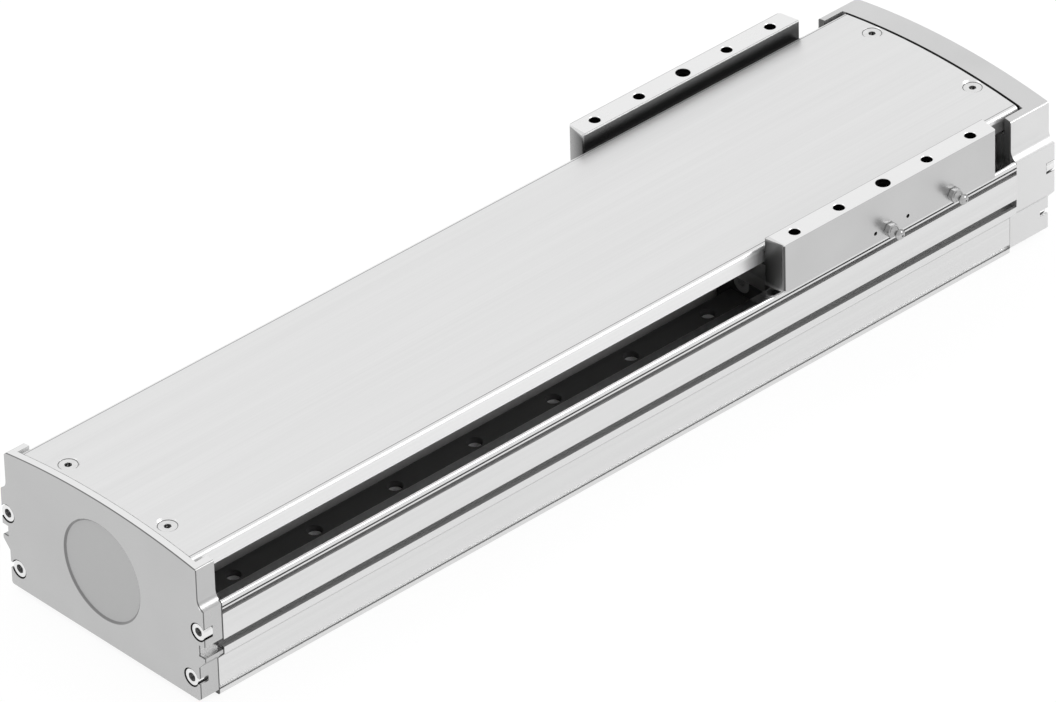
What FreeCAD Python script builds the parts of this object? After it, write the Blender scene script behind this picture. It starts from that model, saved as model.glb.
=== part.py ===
import FreeCAD, Part
import math
import os

import Sketcher

# Ball screw linear axis: an extruded base with two end caps, a crowned cover over the screw, two rails with
# four carriages and a slide whose two side bars stand beside the cover.
# X runs along the axis from the idle end to the drive end, Y to the left side, Z up from the mounting face.
# The origin is the middle of the mounting face. The slide stands at the drive end of its stroke.

SIZES = {
    # Stroke and lengths along X
    "stroke": 400,
    "slide_length": 173,
    "slide_end_room": 19.5,
    "idle_cap_length": 14,
    "drive_cap_length": 31,
    # Extruded base, seen from its end
    "wall_thickness": 8.8,
    "foot_inset": 5.5,
    "wing_start": 24.8,
    "wing_full": 30.2,
    "wall_top": 65,
    "wall_round": 2,
    "wall_chamfer": 0.6,
    "rail_seat": 30.5,
    "trough_floor": 17,
    "trough_gap": 2.5,
    "rib_thickness": 2.5,
    "carriage_rib_gap": 1,
    "carriage_wall_gap": 2,
    "rib_top": 56,
    "foot_round": 1,
    # Slots of the base
    "nut_slot_height": 37.35,
    "nut_slot_opening": 5.1,
    "nut_slot_lip": 1.8,
    "nut_slot_width": 9.6,
    "nut_slot_depth": 5.8,
    "sensor_slot_height": 58.35,
    "sensor_slot_opening": 3.1,
    "sensor_slot_lip": 1.4,
    "sensor_slot_width": 4.3,
    "sensor_slot_depth": 4.5,
    "edge_groove_bottom": 61.05,
    "edge_groove_width": 1.1,
    "edge_groove_depth": 0.9,
    "foot_groove_bottom": 3.4,
    "foot_groove_width": 2.8,
    "foot_groove_depth": 2.5,
    "bottom_slot_inset": 12,
    "bottom_slot_opening": 8.2,
    "bottom_slot_lip": 4.5,
    "bottom_slot_width": 15,
    "bottom_slot_depth": 11,
    # Hollow chambers of the base
    "outer_chamber_width": 13.5,
    "outer_chamber_bottom": 6,
    "outer_chamber_top": 24.5,
    "inner_chamber_inner": 4,
    "inner_chamber_bottom": 4.5,
    "inner_chamber_top": 12.5,
    # End caps
    "cap_bottom": 3,
    "cap_foot_inset": 5.2,
    "cap_wing_start": 25.3,
    "cap_wing_full": 31.3,
    "cap_side_inset": 4.7,
    "cap_flare_bottom": 64.7,
    "cap_flare_top": 71.5,
    "cap_flare_radius": 7.3,
    "cap_corner": 1.5,
    "cap_notch_bottom": 33.7,
    "cap_notch_top": 41.2,
    "cap_notch_depth": 4.5,
    "cap_ear_thickness": 5.3,
    "cap_recess_floor": 79.5,
    "saddle_inset": 9.5,
    "saddle_bottom": 78,
    "saddle_reach": 9,
    "crown_top": 96.6,
    "crown_radius": 505,
    "disc_radius": 32,
    "disc_floor_radius": 30.6,
    "disc_depth": 1.2,
    # Cover plate
    "cover_idle_reach": 8.3,
    "cover_drive_reach": 13.3,
    "cover_idle_gap": 0.3,
    "cover_drive_gap": 1.6,
    "cover_ear_gap": 2.3,
    "cover_thickness": 4,
    "cover_lip_bottom": 81.2,
    "cover_lip_thickness": 4,
    "cover_round": 3,
    "cover_screw_offset": 41.2,
    "cover_screw_idle_inset": 8.6,
    "cover_screw_drive_inset": 6.5,
    "countersink_radius": 6.4,
    "cover_hole_radius": 3.3,
    # Screws: M6 in the caps and the cover, M5 in the rails, carriages and nut bracket, M4 in the bearing lid
    "m6_head_radius": 5,
    "m6_head_height": 6,
    "m6_shank_radius": 2.95,
    "m6_hole_radius": 3,
    "m6_free_radius": 3.3,
    "m6_key": 5,
    "m6_key_depth": 3,
    "m6_flush_head_radius": 5.4,
    "m6_flush_key": 4,
    "m6_flush_key_depth": 2,
    "m5_head_radius": 4.25,
    "m5_head_height": 5,
    "m5_shank_radius": 2.45,
    "m5_hole_radius": 2.5,
    "m5_free_radius": 2.75,
    "m5_key": 4,
    "m5_key_depth": 2.5,
    "m4_head_radius": 3.5,
    "m4_head_height": 4,
    "m4_shank_radius": 1.95,
    "m4_hole_radius": 2,
    "m4_free_radius": 2.25,
    "m4_key": 3,
    "m4_key_depth": 2,
    "cap_counterbore_radius": 5.75,
    "cap_counterbore_depth": 6.5,
    "cap_side_opening": 4,
    "cap_screw_reach": 16,
    "cap_screw_hole": 19,
    "upper_screw_inset": 4.6,
    "upper_screw_height": 49.6,
    "lower_screw_inset": 12,
    "lower_screw_height": 15.7,
    "cover_screw_length": 14,
    "cover_screw_sink": 0.8,
    # Rails and carriages of the 20 mm guide size
    "rail_end_gap": 1,
    "rail_half_width": 10,
    "rail_height": 17.5,
    "rail_waist": 7.8,
    "rail_foot_top": 5.95,
    "rail_waist_bottom": 8.05,
    "rail_waist_top": 10.85,
    "rail_head_bottom": 13.3,
    "rail_top_chamfer": 0.6,
    "rail_pitch": 60,
    "rail_first_hole": 37,
    "rail_last_hole_room": 10,
    "rail_counterbore_radius": 4.75,
    "rail_counterbore_depth": 8.5,
    "rail_screw_length": 16,
    "carriage_end_inset": 4,
    "carriage_spacing": 10,
    "carriage_plate_thickness": 11,
    "carriage_seal_thickness": 2.5,
    "carriage_half_width": 22,
    "carriage_bottom": 4.6,
    "carriage_height": 30,
    "carriage_chamfer": 1.5,
    "carriage_plate_inset": 0.8,
    "carriage_seal_inset": 1.4,
    "carriage_clearance": 0.4,
    "carriage_port_radius": 6.2,
    "carriage_port_drop": 3.5,
    "carriage_port_gap": 0.3,
    "carriage_port_hole_radius": 2.2,
    "carriage_hole_inset": 7.25,
    "carriage_hole_y": 16,
    "carriage_screw_length": 22,
    "carriage_hole_depth": 12,
    # Slide
    "bar_width": 14,
    "bar_bottom": 68,
    "bar_top": 100,
    "bar_end_slant": 1.9,
    "bar_round": 2.5,
    "bar_edge": 0.4,
    "plate_end_inset": 2,
    "plate_top": 79.5,
    "plate_side_inset": 2.5,
    "ridge_half_width": 26,
    "ridge_top": 86,
    "ridge_slope": 2,
    "hub_gap": 0.7,
    "hub_ceiling": 74,
    "hole_spacing": 35,
    "thread_hole_radius": 3.4,
    "thread_hole_depth": 22,
    "thread_hole_chamfer": 0.4,
    "centring_radius": 4.5,
    "centring_depth": 2.6,
    "pin_hole_offset": 12.9,
    "pin_hole_height": 74.8,
    "pin_hole_radius": 1.25,
    "pin_hole_depth": 6,
    "plate_counterbore_radius": 4.75,
    "plate_counterbore_depth": 6,
    # Grease nipples
    "nipple_height": 73.2,
    "nipple_middle": -2,
    "nipple_drive": 49,
    "nipple_hex": 8,
    "nipple_hex_length": 4,
    "nipple_shank_radius": 2.95,
    "nipple_shank_length": 5,
    "nipple_neck_radius": 2,
    "nipple_head_radius": 3.25,
    "nipple_head_foot_radius": 2.9,
    "nipple_length": 11,
    # Gap seals between the bars and the cover
    "seal_running_gap": 0.5,
    "seal_top": 88.5,
    "seal_foot_width": 6,
    "seal_foot_thickness": 1.2,
    # Screw, nut and bearings
    "spindle_height": 50,
    "spindle_radius": 12.5,
    "thread_idle_inset": 5,
    "thread_drive_inset": 3,
    "idle_journal_radius": 7.5,
    "idle_shoulder_radius": 9.5,
    "idle_bearing_outer_radius": 16,
    "idle_bearing_width": 9,
    "idle_bearing_pocket": 9.4,
    "drive_journal_radius": 8.5,
    "drive_bearing_outer_radius": 20,
    "drive_bearing_width": 24,
    "drive_bearing_shoulder": 4,
    "drive_shoulder_radius": 15,
    "spindle_collar_radius": 11.5,
    "ring_share": 0.36,
    "seal_journal_radius": 8,
    "seal_journal_reach": 0.5,
    "shaft_radius": 7.5,
    "shaft_chamfer": 0.8,
    "bearing_end_gap": 0.2,
    "shaft_length": 22,
    "lock_nut_radius": 13,
    "lock_nut_width": 5,
    "lid_radius": 30,
    "lid_height": 6,
    "lid_recess_depth": 1,
    "lid_recess_gap": 0.1,
    "lid_spigot": 3,
    "lid_cavity_radius": 14.5,
    "lid_cavity_depth": 7,
    "lid_screw_circle": 25,
    "lid_screw_length": 14,
    "lid_head_gap": 0.4,
    "shaft_seal_radius": 11,
    "shaft_seal_gap": 0.05,
    "fit_gap": 0.02,
    "nut_outer_radius": 20,
    "nut_bore_radius": 13,
    "nut_collar_radius": 23,
    "nut_collar_width": 6,
    "wiper_thickness": 3,
    "wiper_gap": 0.3,
    "wiper_inset": 2,
    "bracket_gap": 1.2,
    "bracket_bottom": 26,
    "bracket_half_length": 25,
    "bracket_chamfer": 6,
    "bracket_screw_x": 18,
    "bracket_screw_inset": 4.1,
    "bracket_screw_length": 18,
    # Motor flange pattern on the drive cap and rubber stops
    "flange_hole_offset": 27,
    "flange_hole_depth": 15,
    "stop_offset": 34,
    "stop_height": 69.5,
    "stop_radius": 7,
    "stop_length": 18,
}

doc = FreeCAD.newDocument("ball_screw_axis")
sheet = doc.addObject("Spreadsheet::Sheet", "sizes")


class Size:
    """A length that carries both its number and the spreadsheet expression that gives it."""

    def __init__(self, number, text):
        self.number = number
        self.text = text

    def __add__(self, other):
        other = as_size(other)
        return Size(self.number + other.number, f"({self.text} + {other.text})")

    def __sub__(self, other):
        other = as_size(other)
        return Size(self.number - other.number, f"({self.text} - {other.text})")

    def __mul__(self, other):
        other = as_size(other)
        return Size(self.number * other.number, f"({self.text} * {other.text})")

    def __truediv__(self, other):
        other = as_size(other)
        return Size(self.number / other.number, f"({self.text} / {other.text})")

    def __neg__(self):
        return Size(-self.number, f"(0 - {self.text})")

    def __radd__(self, number):
        return self + number

    def __rsub__(self, number):
        return as_size(number) - self

    def __rmul__(self, number):
        return self * number


def as_size(value):
    return value if isinstance(value, Size) else Size(value, f"({value})")


def root(size):
    return Size(math.sqrt(size.number), f"sqrt({size.text})")


class Sizes:
    """Every driving dimension as an attribute."""


z = Sizes()
for row, (alias, value) in enumerate(SIZES.items(), start=1):
    sheet.set(f"A{row}", alias)
    sheet.set(f"B{row}", str(value))
    sheet.setAlias(f"B{row}", alias)
    setattr(z, alias, Size(value, f"sizes.{alias}"))
doc.recompute()


class Arc:
    """A short arc between two corners of an outline; it turns left if turn is 1 and right if it is -1."""

    def __init__(self, radius, turn=1):
        self.radius = as_size(radius)
        self.turn = turn


def mirrored(right_side):
    """Closes an outline drawn for the right side, bottom to top, with its mirror image on the left."""
    left_side = []
    for item in reversed(right_side):
        if isinstance(item, Arc):
            left_side.append(item)
        elif as_size(item[0]).number != 0:
            left_side.append((-as_size(item[0]), item[1]))
    return right_side + left_side


def flipped(outline):
    """The mirror image of a whole outline, across the second axis."""
    return mirrored(outline)[len(outline):]


def pin(sketch, geometry, point, place):
    """Holds one point of the sketch at its two coordinates."""
    for kind, axis, value in (("DistanceX", -2, place[0]), ("DistanceY", -1, place[1])):
        value = as_size(value)
        if value.number == 0:
            sketch.addConstraint(Sketcher.Constraint("PointOnObject", geometry, point, axis))
        else:
            index = sketch.addConstraint(Sketcher.Constraint(kind, -1, 1, geometry, point, value.number))
            sketch.setExpression(f"Constraints[{index}]", value.text)


def draw(sketch, outline):
    """Draws a closed outline of corners and arcs; every corner is held by its coordinates."""
    corners = []
    arcs = {}
    for item in outline:
        if isinstance(item, Arc):
            arcs[len(corners) - 1] = item
        else:
            corners.append((as_size(item[0]), as_size(item[1])))
    starts = []
    ends = []
    for i, corner in enumerate(corners):
        following = corners[(i + 1) % len(corners)]
        a = FreeCAD.Vector(corner[0].number, corner[1].number, 0)
        b = FreeCAD.Vector(following[0].number, following[1].number, 0)
        if i not in arcs:
            g = sketch.addGeometry(Part.LineSegment(a, b), False)
            starts.append((g, 1))
            ends.append((g, 2))
            continue
        arc = arcs[i]
        chord = b - a
        rise = math.sqrt(arc.radius.number ** 2 - (chord.Length / 2) ** 2)
        left = FreeCAD.Vector(-chord.y, chord.x, 0).normalize()
        centre = (a + b) * 0.5 + left * (rise * arc.turn)
        circle = Part.Circle(centre, FreeCAD.Vector(0, 0, 1), arc.radius.number)
        first, last = (a, b) if arc.turn > 0 else (b, a)
        angles = [math.atan2(p.y - centre.y, p.x - centre.x) for p in (first, last)]
        g = sketch.addGeometry(Part.ArcOfCircle(circle, angles[0], angles[1]), False)
        starts.append((g, 1 if arc.turn > 0 else 2))
        ends.append((g, 2 if arc.turn > 0 else 1))
        index = sketch.addConstraint(Sketcher.Constraint("Radius", g, arc.radius.number))
        sketch.setExpression(f"Constraints[{index}]", arc.radius.text)
    for i, corner in enumerate(corners):
        sketch.addConstraint(Sketcher.Constraint("Coincident", *ends[i - 1], *starts[i]))
        pin(sketch, *starts[i], corner)


def ring(sketch, place, radius):
    """A circle held by its centre and radius."""
    radius = as_size(radius)
    centre = FreeCAD.Vector(as_size(place[0]).number, as_size(place[1]).number, 0)
    g = sketch.addGeometry(Part.Circle(centre, FreeCAD.Vector(0, 0, 1), radius.number), False)
    index = sketch.addConstraint(Sketcher.Constraint("Radius", g, radius.number))
    sketch.setExpression(f"Constraints[{index}]", radius.text)
    pin(sketch, g, 3, place)


def box(low_x, low_y, high_x, high_y):
    return [(low_x, low_y), (high_x, low_y), (high_x, high_y), (low_x, high_y)]


def hexagon(place, across_flats):
    """Corners of a hexagon with two of its flats parallel to the second axis."""
    x, y = as_size(place[0]), as_size(place[1])
    flat = across_flats / 2
    tip = across_flats / math.sqrt(3)
    return [(x, y + tip), (x - flat, y + tip / 2), (x - flat, y - tip / 2),
            (x, y - tip), (x + flat, y - tip / 2), (x + flat, y + tip / 2)]


def new_body(label, x=None, y=None, height=None):
    """A named piece; its own frame may stand away from the axis frame."""
    body = doc.addObject("PartDesign::Body", label)
    body.Label = label
    for axis, value in (("x", x), ("y", y), ("z", height)):
        if value is not None:
            body.setExpression(f"Placement.Base.{axis}", as_size(value).text)
    return body


def sketch_on(body, plane, start=0):
    """A sketch across an origin plane, moved along the plane's normal: +X for YZ, +Z for XY, -Y for XZ."""
    sketch = body.newObject("Sketcher::SketchObject", "Sketch")
    role = plane + "_Plane"
    support = [f for f in body.Origin.OriginFeatures if f.Role == role][0]
    sketch.AttachmentSupport = [(support, "")]
    sketch.MapMode = "FlatFace"
    sketch.setExpression("AttachmentOffset.Base.z", as_size(start).text)
    return sketch


def pad(body, sketch, length):
    """Adds material along the sketch plane's normal."""
    feature = body.newObject("PartDesign::Pad", "Pad")
    feature.Profile = sketch
    feature.setExpression("Length", as_size(length).text)
    return feature


def pocket(body, sketch, length):
    """Cuts along the sketch plane's normal and makes sure that something was cut."""
    doc.recompute()
    before = body.Shape.Volume
    feature = body.newObject("PartDesign::Pocket", "Pocket")
    feature.Profile = sketch
    feature.Reversed = True
    feature.setExpression("Length", as_size(length).text)
    doc.recompute()
    if body.Shape.Volume >= before - 1e-6:
        raise RuntimeError("a pocket cut nothing in " + body.Label)
    return feature


def turned(label, outlines, x=None):
    """A piece turned about the spindle's axis from outlines of (x, radius) corners."""
    body = new_body(label, x, None, z.spindle_height)
    sketch = sketch_on(body, "XZ")
    for outline in outlines:
        draw(sketch, outline)
    feature = body.newObject("PartDesign::Revolution", "Revolution")
    feature.Profile = sketch
    feature.ReferenceAxis = ([f for f in body.Origin.OriginFeatures if f.Role == "X_Axis"][0], [""])
    feature.Angle = 360
    return body


class SocketScrew:
    """Sizes of a cylinder-head screw with a hexagon socket."""

    def __init__(self, head_radius, head_height, shank_radius, key, key_depth):
        self.head_radius = head_radius
        self.head_height = head_height
        self.shank_radius = shank_radius
        self.key = key
        self.key_depth = key_depth


M6 = SocketScrew(z.m6_head_radius, z.m6_head_height, z.m6_shank_radius, z.m6_key, z.m6_key_depth)
M5 = SocketScrew(z.m5_head_radius, z.m5_head_height, z.m5_shank_radius, z.m5_key, z.m5_key_depth)
M4 = SocketScrew(z.m4_head_radius, z.m4_head_height, z.m4_shank_radius, z.m4_key, z.m4_key_depth)


def screws(label, plane, seat, rises, places, screw, length, x=None):
    """Screws of one size whose heads rise from the seat, along the plane's normal or against it."""
    body = new_body(label, x)
    heads = sketch_on(body, plane, seat if rises else seat - screw.head_height)
    for place in places:
        ring(heads, place, screw.head_radius)
    pad(body, heads, screw.head_height)
    shanks = sketch_on(body, plane, seat - length if rises else seat)
    for place in places:
        ring(shanks, place, screw.shank_radius)
    pad(body, shanks, length)
    top = seat + screw.head_height - screw.key_depth
    sockets = sketch_on(body, plane, top if rises else seat - screw.head_height)
    for place in places:
        draw(sockets, hexagon(place, screw.key))
    pocket(body, sockets, screw.key_depth)
    return body


def holes(body, plane, start, length, places, radius):
    """Round holes of one size, cut along the plane's normal."""
    sketch = sketch_on(body, plane, start)
    for place in places:
        ring(sketch, place, radius)
    return pocket(body, sketch, length)


def crown(y):
    """Height of the crowned top at a distance y from the middle."""
    return z.crown_top - z.crown_radius + root(z.crown_radius * z.crown_radius - y * y)


# Places along the axis: the stroke and the slide give the base its length
profile_length = z.stroke + z.slide_length + 2 * z.slide_end_room
half_profile = profile_length / 2
idle_face = -half_profile - z.idle_cap_length
drive_face = half_profile + z.drive_cap_length
lid_seat = drive_face - z.lid_recess_depth
cover_idle_end = -half_profile - z.cover_idle_reach
cover_drive_end = half_profile + z.cover_drive_reach
slide_x = z.stroke / 2
idle_bearing_start = -half_profile - z.idle_bearing_pocket + z.bearing_end_gap
carriage_length = (z.slide_length - 2 * z.carriage_end_inset - z.carriage_spacing) / 2
block_length = carriage_length - 2 * (z.carriage_plate_thickness + z.carriage_seal_thickness)
carriage_x = (carriage_length + z.carriage_spacing) / 2

# Places across the axis, from the ball nut in the middle to the side walls
rib_inner = z.nut_collar_radius + z.trough_gap
rib_outer = rib_inner + z.rib_thickness
rail_y = rib_outer + z.carriage_rib_gap + z.carriage_half_width
wall_inner = rail_y + z.carriage_half_width + z.carriage_wall_gap
wing = wall_inner + z.wall_thickness
foot = wing - z.foot_inset
cap_side = wing - z.cap_side_inset
cap_ear = cap_side - z.cap_ear_thickness
cover_edge = cap_ear - z.cover_ear_gap
bar_outer = wall_inner + z.bar_width
bracket_half_width = rib_inner - z.bracket_gap
bracket_screw_y = bracket_half_width - z.bracket_screw_inset
lower_screw_y = wing - z.lower_screw_inset

SIDES = (1, -1)
cap_screw_places = [(side * (wing - z.upper_screw_inset), z.upper_screw_height) for side in SIDES]
cap_screw_places += [(side * lower_screw_y, z.lower_screw_height) for side in SIDES]
room_for_holes = profile_length.number - z.rail_first_hole.number - z.rail_last_hole_room.number
RAIL_HOLES = 1 + int(room_for_holes / z.rail_pitch.number)
rail_holes_x = [-half_profile + z.rail_first_hole + z.rail_pitch * i for i in range(RAIL_HOLES)]


# Extruded base: side walls with a nut slot, a sensor slot and a thin groove above it, floors for the rails,
# a trough for the screw between two ribs, a groove along each foot, two nut slots underneath and four
# hollow chambers.
def slot_in_wall(height, opening, lip, width, depth):
    """Corners of a T-shaped slot in the right wing, from its lower edge to its upper edge."""
    mouth = opening / 2
    room = width / 2
    return [(wing, height - mouth), (wing - lip, height - mouth), (wing - lip, height - room),
            (wing - depth, height - room), (wing - depth, height + room), (wing - lip, height + room),
            (wing - lip, height + mouth), (wing, height + mouth)]


def base_outline():
    slot = rib_outer + z.bottom_slot_inset
    mouth = z.bottom_slot_opening / 2
    room = z.bottom_slot_width / 2
    groove_top = z.foot_groove_bottom + z.foot_groove_width
    lip = z.bottom_slot_lip
    depth = z.bottom_slot_depth
    right = [(0, 0), (slot - mouth, 0), (slot - mouth, lip), (slot - room, lip), (slot - room, depth),
             (slot + room, depth), (slot + room, lip), (slot + mouth, lip), (slot + mouth, 0),
             (foot - z.foot_round, 0), Arc(z.foot_round), (foot, z.foot_round),
             (foot, z.foot_groove_bottom), (foot - z.foot_groove_depth, z.foot_groove_bottom),
             (foot - z.foot_groove_depth, groove_top), (foot, groove_top),
             (foot, z.wing_start), (wing, z.wing_full)]
    right += slot_in_wall(z.nut_slot_height, z.nut_slot_opening, z.nut_slot_lip, z.nut_slot_width,
                          z.nut_slot_depth)
    right += slot_in_wall(z.sensor_slot_height, z.sensor_slot_opening, z.sensor_slot_lip, z.sensor_slot_width,
                          z.sensor_slot_depth)
    groove = wing - z.edge_groove_depth
    edge_groove_top = z.edge_groove_bottom + z.edge_groove_width
    right += [(wing, z.edge_groove_bottom), (groove, z.edge_groove_bottom), (groove, edge_groove_top),
              (wing, edge_groove_top)]
    right += [(wing, z.wall_top - z.wall_round), Arc(z.wall_round), (wing - z.wall_round, z.wall_top),
              (wall_inner + z.wall_chamfer, z.wall_top), (wall_inner, z.wall_top - z.wall_chamfer),
              (wall_inner, z.rail_seat), (rib_outer, z.rail_seat), (rib_outer, z.rib_top),
              (rib_inner, z.rib_top), (rib_inner, z.trough_floor), (0, z.trough_floor)]
    return mirrored(right)


def base_profile():
    body = new_body("base_profile")
    section = sketch_on(body, "YZ", -half_profile)
    draw(section, base_outline())
    for chamber in (
        box(rail_y, z.outer_chamber_bottom, rail_y + z.outer_chamber_width, z.outer_chamber_top),
        box(z.inner_chamber_inner, z.inner_chamber_bottom, rib_outer, z.inner_chamber_top),
    ):
        draw(section, chamber)
        draw(section, flipped(chamber))
    pad(body, section, profile_length)
    for start in (-half_profile, half_profile - z.cap_screw_hole):
        holes(body, "YZ", start, z.cap_screw_hole, cap_screw_places, z.m6_hole_radius)
    depth = z.rail_screw_length - z.rail_height + z.rail_counterbore_depth + 1
    holes(body, "XY", z.rail_seat - depth, depth, rail_places(), z.m5_hole_radius)


def rail_places():
    return [(x, side * rail_y) for side in SIDES for x in rail_holes_x]


# End caps: plates of the same outline with a crowned top, ears beside the cover and a saddle that carries it.
def cap_outline(notched):
    cap_foot = wing - z.cap_foot_inset
    corner = z.cap_corner
    right = [(0, z.cap_bottom), (cap_foot - corner, z.cap_bottom), Arc(corner),
             (cap_foot, z.cap_bottom + corner), (cap_foot, z.cap_wing_start), (wing, z.cap_wing_full)]
    if notched:
        right += [(wing, z.cap_notch_bottom), (wing - z.cap_notch_depth, z.cap_notch_bottom),
                  (wing - z.cap_notch_depth, z.cap_notch_top), (wing, z.cap_notch_top)]
    shoulder = cap_side - corner
    right += [(wing, z.cap_flare_bottom), Arc(z.cap_flare_radius, -1), (cap_side, z.cap_flare_top),
              (cap_side, crown(shoulder) - corner), Arc(corner), (shoulder, crown(shoulder)),
              Arc(z.crown_radius)]
    return mirrored(right)


def saddle_outline():
    """The part of a cap under the cover, up to the underside of the crown."""
    edge = cover_edge - z.saddle_inset
    under = z.crown_radius - z.cover_thickness
    top = z.crown_top - z.crown_radius + root(under * under - edge * edge)
    return mirrored([(0, z.saddle_bottom), (edge, z.saddle_bottom), (edge, top), Arc(under)])


def cover_screw_places(x):
    return [(x, side * z.cover_screw_offset) for side in SIDES]


def end_cap(label, start, length, recess, saddle, screw_x, notched):
    """A cap plate with the recess for the cover and the saddle under it, each given as its ends along X."""
    body = new_body(label)
    plate = sketch_on(body, "YZ", start)
    draw(plate, cap_outline(notched))
    pad(body, plate, length)
    room = sketch_on(body, "YZ", recess[0])
    draw(room, box(-cap_ear, z.cap_recess_floor, cap_ear, z.crown_top + 1))
    pocket(body, room, recess[1] - recess[0])
    carrier = sketch_on(body, "YZ", saddle[0])
    draw(carrier, saddle_outline())
    pad(body, carrier, saddle[1] - saddle[0])
    reach = z.crown_top - z.saddle_bottom
    holes(body, "XY", z.saddle_bottom, reach, cover_screw_places(screw_x), z.m6_hole_radius)
    return body


def side_openings(body, start, length):
    """Lets the lower counterbores out through the flanks of a cap."""
    sketch = sketch_on(body, "YZ", start)
    height = z.lower_screw_height
    half = z.cap_side_opening / 2
    opening = box(lower_screw_y, height - half, wing, height + half)
    draw(sketch, opening)
    draw(sketch, flipped(opening))
    pocket(body, sketch, length)


def idle_end_cap():
    recess_start = cover_idle_end - z.cover_idle_gap
    body = end_cap("idle_end_cap", idle_face, z.idle_cap_length, (recess_start, -half_profile),
                   (recess_start, -half_profile + z.saddle_reach),
                   cover_idle_end + z.cover_screw_idle_inset, True)
    holes(body, "YZ", idle_face, z.idle_cap_length, cap_screw_places, z.m6_free_radius)
    holes(body, "YZ", idle_face, z.cap_counterbore_depth, cap_screw_places, z.cap_counterbore_radius)
    side_openings(body, idle_face, z.cap_counterbore_depth)
    holes(body, "YZ", -half_profile - z.idle_bearing_pocket, z.idle_bearing_pocket, [(0, z.spindle_height)],
          z.idle_bearing_outer_radius + z.fit_gap)
    # Shallow round recess in the outer face, with a sloping rim
    sketch = sketch_on(body, "XZ")
    draw(sketch, [(idle_face, z.spindle_height), (idle_face, z.spindle_height + z.disc_radius),
                  (idle_face + z.disc_depth, z.spindle_height + z.disc_floor_radius),
                  (idle_face + z.disc_depth, z.spindle_height)])
    axis = sketch.addGeometry(Part.LineSegment(FreeCAD.Vector(0, z.spindle_height.number, 0),
                                               FreeCAD.Vector(1, z.spindle_height.number, 0)), True)
    pin(sketch, axis, 1, (0, z.spindle_height))
    pin(sketch, axis, 2, (1, z.spindle_height))
    doc.recompute()
    before = body.Shape.Volume
    groove = body.newObject("PartDesign::Groove", "Groove")
    groove.Profile = sketch
    groove.ReferenceAxis = (sketch, ["Axis0"])
    groove.Angle = 360
    doc.recompute()
    if body.Shape.Volume >= before:
        raise RuntimeError("the disc recess cut nothing")


def drive_end_cap():
    recess_end = cover_drive_end + z.cover_drive_gap
    body = end_cap("drive_end_cap", half_profile, z.drive_cap_length, (half_profile, recess_end),
                   (half_profile, recess_end), cover_drive_end - z.cover_screw_drive_inset, False)
    holes(body, "YZ", half_profile, z.drive_cap_length, cap_screw_places, z.m6_free_radius)
    counterbore = drive_face - z.cap_counterbore_depth
    holes(body, "YZ", counterbore, z.cap_counterbore_depth, cap_screw_places, z.cap_counterbore_radius)
    side_openings(body, counterbore, z.cap_counterbore_depth)
    middle = [(0, z.spindle_height)]
    bore_start = half_profile + z.drive_bearing_shoulder
    holes(body, "YZ", half_profile, z.drive_bearing_shoulder, middle, z.drive_shoulder_radius)
    holes(body, "YZ", bore_start, drive_face - bore_start, middle, z.drive_bearing_outer_radius + z.fit_gap)
    holes(body, "YZ", lid_seat, z.lid_recess_depth, middle, z.lid_radius + z.lid_recess_gap)
    flange = z.flange_hole_offset
    corners = [(side * flange, z.spindle_height + up * flange) for side in SIDES for up in SIDES]
    holes(body, "YZ", drive_face - z.flange_hole_depth, z.flange_hole_depth, corners, z.m6_hole_radius)
    reach = z.lid_screw_length
    holes(body, "YZ", drive_face - reach, reach, lid_places(z.spindle_height), z.m4_hole_radius)


def lid_places(height):
    reach = z.lid_screw_circle
    return [(reach, height), (-reach, height), (0, height + reach), (0, height - reach)]


# Screws that hold the two caps to the ends of the base.
def cap_screws():
    screws("idle_cap_screws", "YZ", idle_face + z.cap_counterbore_depth, False, cap_screw_places, M6,
           z.idle_cap_length - z.cap_counterbore_depth + z.cap_screw_reach)
    screws("drive_cap_screws", "YZ", drive_face - z.cap_counterbore_depth, True, cap_screw_places, M6,
           z.drive_cap_length - z.cap_counterbore_depth + z.cap_screw_reach)


# Crowned cover plate with rounded edges and a lip down each side, held to the saddles by countersunk screws.
def cover_plate():
    inner = cover_edge - z.cover_lip_thickness
    round_start = cover_edge - z.cover_round
    under = z.crown_radius - z.cover_thickness
    under_edge = z.crown_top - z.crown_radius + root(under * under - inner * inner)
    body = new_body("cover_blank")
    section = sketch_on(body, "YZ", cover_idle_end)
    shoulder = crown(round_start)
    right = [Arc(under, -1), (inner, under_edge), (inner, z.cover_lip_bottom),
             (cover_edge, z.cover_lip_bottom), (cover_edge, shoulder - z.cover_round), Arc(z.cover_round),
             (round_start, shoulder), Arc(z.crown_radius)]
    draw(section, [(-inner, under_edge)] + right + flipped(right[2:-1]))
    pad(body, section, cover_drive_end - cover_idle_end)
    screw_x = (cover_idle_end + z.cover_screw_idle_inset, cover_drive_end - z.cover_screw_drive_inset)
    places = [place for x in screw_x for place in cover_screw_places(x)]
    holes(body, "XY", z.cover_lip_bottom, z.crown_top - z.cover_lip_bottom, places, z.cover_hole_radius)
    return body, places


def cover_with_countersinks():
    body, places = cover_plate()
    surface = crown(z.cover_screw_offset)
    cones = []
    screw_set = []
    tip = 0.01  # a cone needs a small flat at its point
    for i, (x, y) in enumerate(places):
        cone = doc.addObject("Part::Cone", f"countersink_{i}")
        place_piece(cone, x, y, surface - z.countersink_radius)
        bind(cone, Radius1=tip, Radius2=z.countersink_radius + 1, Height=z.countersink_radius + 1)
        cones.append(cone)
        screw_set.append(flush_screw(i, x, y, surface - z.cover_screw_sink))
    tool = doc.addObject("Part::MultiFuse", "countersinks")
    tool.Shapes = cones
    cut = doc.addObject("Part::Cut", "cover_plate")
    cut.Base = body
    cut.Tool = tool
    together = doc.addObject("Part::Compound", "cover_screws")
    together.Links = screw_set


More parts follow.
